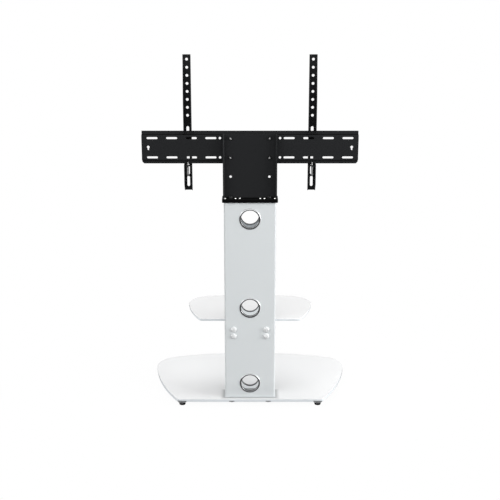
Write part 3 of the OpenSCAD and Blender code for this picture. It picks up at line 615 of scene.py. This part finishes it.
bolt_mesh = bmesh.new()
head_h, head_r, key_depth = 0.0053, 0.0065, 0.0026
head_wall = [(0.0063, 0.0), (head_r, 0.0005), (head_r, 0.0044), (0.0059, head_h), (0.0035, head_h)]
groove, around = 0.00012, 60
for centre, size in solids_of("neck_bolts"):
    tip = (centre.x, centre.y, centre.z - size.z / 2)
    screw_thread(bolt_mesh, pointing(tip, "Z"), m8, size.z - head_h)
    seat = pointing((centre.x, centre.y, centre.z + size.z / 2 - head_h), "Z")
    rings = []
    for radius, height in head_wall:
        knurl = groove if radius == head_r else 0.0
        radii = [radius - knurl * (i % 2) for i in range(around)]
        rings.append(ring(bolt_mesh, seat, height, radii))
    for height in (head_h, head_h - key_depth):
        rings.append(ring(bolt_mesh, seat, height, six_sides(0.006, around)))
    skin(bolt_mesh, rings)
finished("neck_bolts_socket", bolt_mesh, black_oxide, "stand", "neck_bolts")

screw_mesh = bmesh.new()
head_places = []
tapping = (0.0015, 0.0006)
head_h = 0.0015
for centre, size in solids_of("neck_screws"):
    tip = (centre.x, centre.y, centre.z - size.z / 2)
    screw_thread(screw_mesh, pointing(tip, "Z"), tapping, size.z - head_h)
    head_places.append((centre.x, centre.y, centre.z + size.z / 2 - head_h))
finished("neck_screws_threaded", screw_mesh, zinc, "stand", "neck_screws")
# The plated heads carry a painted glint: an even glow in place of the lamp caught on them.
nickel = Finish("satin nickel", metallic=1.0, base_color=(0.95, 0.95, 0.94, 1.0))
nickel.set(roughness=0.40 + 0.10 * nickel.noise(500.0, 2.0))
nickel.set(emission_color=(0.85, 0.85, 0.83, 1.0), emission_strength=1.0)
nickel.bump(nickel.noise(900.0, 2.0), 0.00004, 0.2)
pan_profile = [
    (0.0, 0.0008), (0.0007, 0.0015), (0.0021, 0.0015), (0.0024, 0.0013), (0.0026, 0.0010),
    (0.0026, 0.0), (0.0, 0.0),
]
lathe(
    "neck_screws_heads", pan_profile, head_places, nickel,
    "stand", "neck_screws", steps=24,
)


# ---- Rail ----------------------------------------------------------------------------
# One long stepped section, folded from 2.5 mm steel and punched with two rows of slots,
# in the neck's black coat. Four bolts with black nuts hold it to the neck.
sheet_copy("rail_plate", "rail_plate_eased", "stand", black_coat, edge_r=0.0004)
bolt_mesh = bmesh.new()
nut_mesh = bmesh.new()
head_h = 0.003
for centre, size in solids_of("rail_bolts"):
    seat = (centre.x, centre.y - size.y / 2 + head_h, centre.z)
    screw_thread(bolt_mesh, pointing(seat, "Y"), m6, size.y - head_h)
    hexagon(bolt_mesh, pointing(seat, "-Y"), corners=0.011, low=0.0, high=head_h, crown=0.0006)
for centre, size in solids_of("rail_nuts"):
    hexagon(nut_mesh, pointing(centre, "Y"), 0.0115, -half_nut, half_nut, crown=0.0006)
bright_zinc = Finish("bright zinc", metallic=1.0, base_color=(0.86, 0.86, 0.85, 1.0))
bright_zinc.set(roughness=0.34 + 0.12 * bright_zinc.noise(300.0, 3.0))
bright_zinc.bump(bright_zinc.noise(800.0, 2.0), 0.00005, 0.3)
finished("rail_bolts_threaded", bolt_mesh, bright_zinc, "stand", "rail_bolts")
finished("rail_nuts_hexagon", nut_mesh, black_oxide, "stand", "rail_nuts")


# ---- Arms ----------------------------------------------------------------------------
# Folded channels in the same black coat, each with a threaded tab welded across it. A
# plated screw runs up through the tab and locks the arm behind the rail's lower lip.
head_h = 0.006
for side in ("left", "right"):
    arm, tab, screw = f"{side}_arm", f"{side}_lock_tab", f"{side}_lock_screw"
    sheet_copy(arm, f"{arm}_eased", arm, black_coat, edge_r=0.0003)
    sheet_copy(tab, f"{tab}_eased", arm, black_coat, edge_r=0.0003)
    low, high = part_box(screw)
    seat = ((low.x + high.x) / 2, (low.y + high.y) / 2, low.z + head_h)
    lock_mesh = bmesh.new()
    screw_thread(lock_mesh, pointing(seat, "Z"), m6, high.z - low.z - head_h)
    hexagon(lock_mesh, pointing(seat, "-Z"), corners=0.010, low=0.0, high=head_h, crown=0.0007)
    finished(f"{screw}_threaded", lock_mesh, zinc, screw, screw)


# ---- Studio --------------------------------------------------------------------------
# A floor and a surround that the camera sees as white but that give little light, and
# three soft lamps: a strong one on the photograph's right, a weaker one on its left, and a
# weak one above the front. The floor under the stand is a trace darker.
floor_mesh = bmesh.new()
bmesh.ops.create_grid(floor_mesh, x_segments=1, y_segments=1, size=45.0)
floor_data = bpy.data.meshes.new("floor")
floor_mesh.to_mesh(floor_data)
floor_mesh.free()
floor = bpy.data.objects.new("floor", floor_data)
just_under_the_pads = -0.0002
floor.location = (0.0, 0.0, just_under_the_pads)
bpy.context.scene.collection.objects.link(floor)

floor_finish = Finish("white floor", roughness=0.9, specular_ior_level=0.0)
direct = floor_finish.node("ShaderNodeLightPath", {}, {}, "Is Camera Ray")
through = floor_finish.node("ShaderNodeLightPath", {}, {}, "Is Transmission Ray")
seen = direct + through
for_light, for_camera = (0.07, 0.07, 0.072, 1.0), (0.92, 0.92, 0.92, 1.0)
floor_finish.set(base_color=floor_finish.blend(seen, for_light, for_camera))
length = {"operation": "LENGTH"}
away = floor_finish.node("ShaderNodeVectorMath", length, {0: floor_finish.place}, "Value")
plain_white = (1.0, 1.0, 1.0, 1.0)
lit = Wire(floor_finish, floor_finish.shader.outputs[0])
bright = floor_finish.node("ShaderNodeEmission", {}, {"Color": plain_white, "Strength": 1.0})
share = seen * (0.975 + 0.025 * away.ramp(0.35, 0.9))
mixed = floor_finish.node("ShaderNodeMixShader", {}, {0: share, 1: lit, 2: bright})
floor_finish.feed(floor_finish.tree.nodes["Material Output"].inputs["Surface"], mixed)
floor_data.materials.append(floor_finish.material)


class Surround(Finish):
    """What stands round the floor: the same nodes, fed to the world."""

    def __init__(self, name):
        self.world = bpy.data.worlds.new(name)
        self.world.use_nodes = True
        self.tree = self.world.node_tree
        self.place = self.node("ShaderNodeTexCoord", {}, {}, "Generated")
        bpy.context.scene.world = self.world


# The surround is dim overhead, brighter in front of the stand and brightest behind the
# camera.
studio = Surround("studio")
ahead = studio.along("Y").ramp(0.0, -0.9)
behind = studio.along("Y").ramp(0.0, 0.9)
strength = 0.300 + 0.460 * ahead + 1.449 * behind
soft = studio.node("ShaderNodeBackground", {}, {"Color": plain_white, "Strength": strength})
clear = studio.node("ShaderNodeBackground", {}, {"Color": plain_white, "Strength": 1.0})
seen = studio.node("ShaderNodeLightPath", {}, {}, "Is Camera Ray")
shown = studio.node("ShaderNodeMixShader", {}, {0: seen, 1: soft, 2: clear})
studio.feed(studio.tree.nodes["World Output"].inputs["Surface"], shown)

stand_middle = Vector((0.0, 0.0, 0.55))
for name, place, size, power in (
    ("right lamp", (-3.2, 1.0, 1.1), 2.0, 114.5),
    ("left lamp", (3.0, 2.0, 1.8), 2.0, 33.3),
    ("front lamp", (0.2, -1.6, 3.6), 3.0, 28.0),
):
    lamp_data = bpy.data.lights.new(name, "AREA")
    lamp_data.size = size
    lamp_data.energy = power
    lamp = bpy.data.objects.new(name, lamp_data)
    lamp.location = place
    lamp.rotation_euler = (stand_middle - Vector(place)).to_track_quat("-Z", "Y").to_euler()
    bpy.context.scene.collection.objects.link(lamp)
